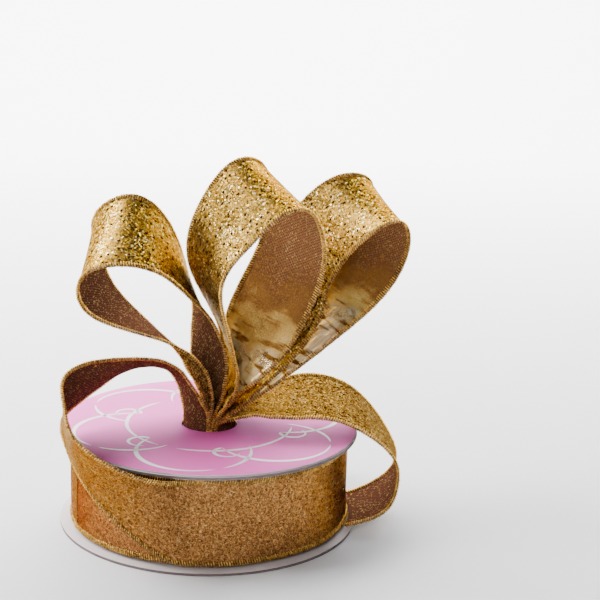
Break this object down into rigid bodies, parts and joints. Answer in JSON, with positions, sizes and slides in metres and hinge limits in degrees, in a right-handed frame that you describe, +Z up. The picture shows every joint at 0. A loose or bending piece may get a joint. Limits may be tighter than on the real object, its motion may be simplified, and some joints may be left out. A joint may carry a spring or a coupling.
{
  "type": "ribbon spool",
  "caption": "Wide card spool of wired metallic ribbon with a printed top label; the ribbon's last run is gathered in the core and folded into a standing looped bow.",
  "frame": {"origin": "middle of the whole object's box, on the plane that the bottom flange stands on; the spool's own axis is 10.7 mm to -X and 3.9 mm to +Y of it", "axes": "+Z up along the spool's axis, -Y the side from which the bow and the label are seen, +X towards the bow's tail"},
  "size_m": [0.1554, 0.1419, 0.1666],
  "materials": {
    "flange_card": "matt off-white card with a faint lilac tinge, layered grey edge",
    "core_card": "matt brown wound card",
    "printed_label": "satin pink paper printed with an off-white scroll rosette",
    "gold_ribbon": "metallic gold glitter cloth with sparse brown pin dots and a mauve-brown net back",
    "ribbon_edge": "bright gold overlock thread over a thin wire"
  },
  "bodies": {
    "root": {"bottom_flange": "flange_card", "top_flange": "flange_card", "top_label": "printed_label", "core_tube": "core_card", "ribbon_roll": "gold_ribbon", "outer_wrap_cloth": "gold_ribbon", "outer_wrap_lower_wire": "ribbon_edge", "outer_wrap_upper_wire": "ribbon_edge", "bow_root": "gold_ribbon", "left_arc_cloth": "gold_ribbon", "left_arc_near_wire": "ribbon_edge", "left_arc_far_wire": "ribbon_edge", "left_loop_cloth": "gold_ribbon", "left_loop_near_wire": "ribbon_edge", "left_loop_far_wire": "ribbon_edge", "middle_loop_cloth": "gold_ribbon", "middle_loop_near_wire": "ribbon_edge", "middle_loop_far_wire": "ribbon_edge", "right_loop_cloth": "gold_ribbon", "right_loop_near_wire": "ribbon_edge", "right_loop_far_wire": "ribbon_edge", "tail_cloth": "gold_ribbon", "tail_near_wire": "ribbon_edge", "tail_far_wire": "ribbon_edge"}
  },
  "joints": []
}
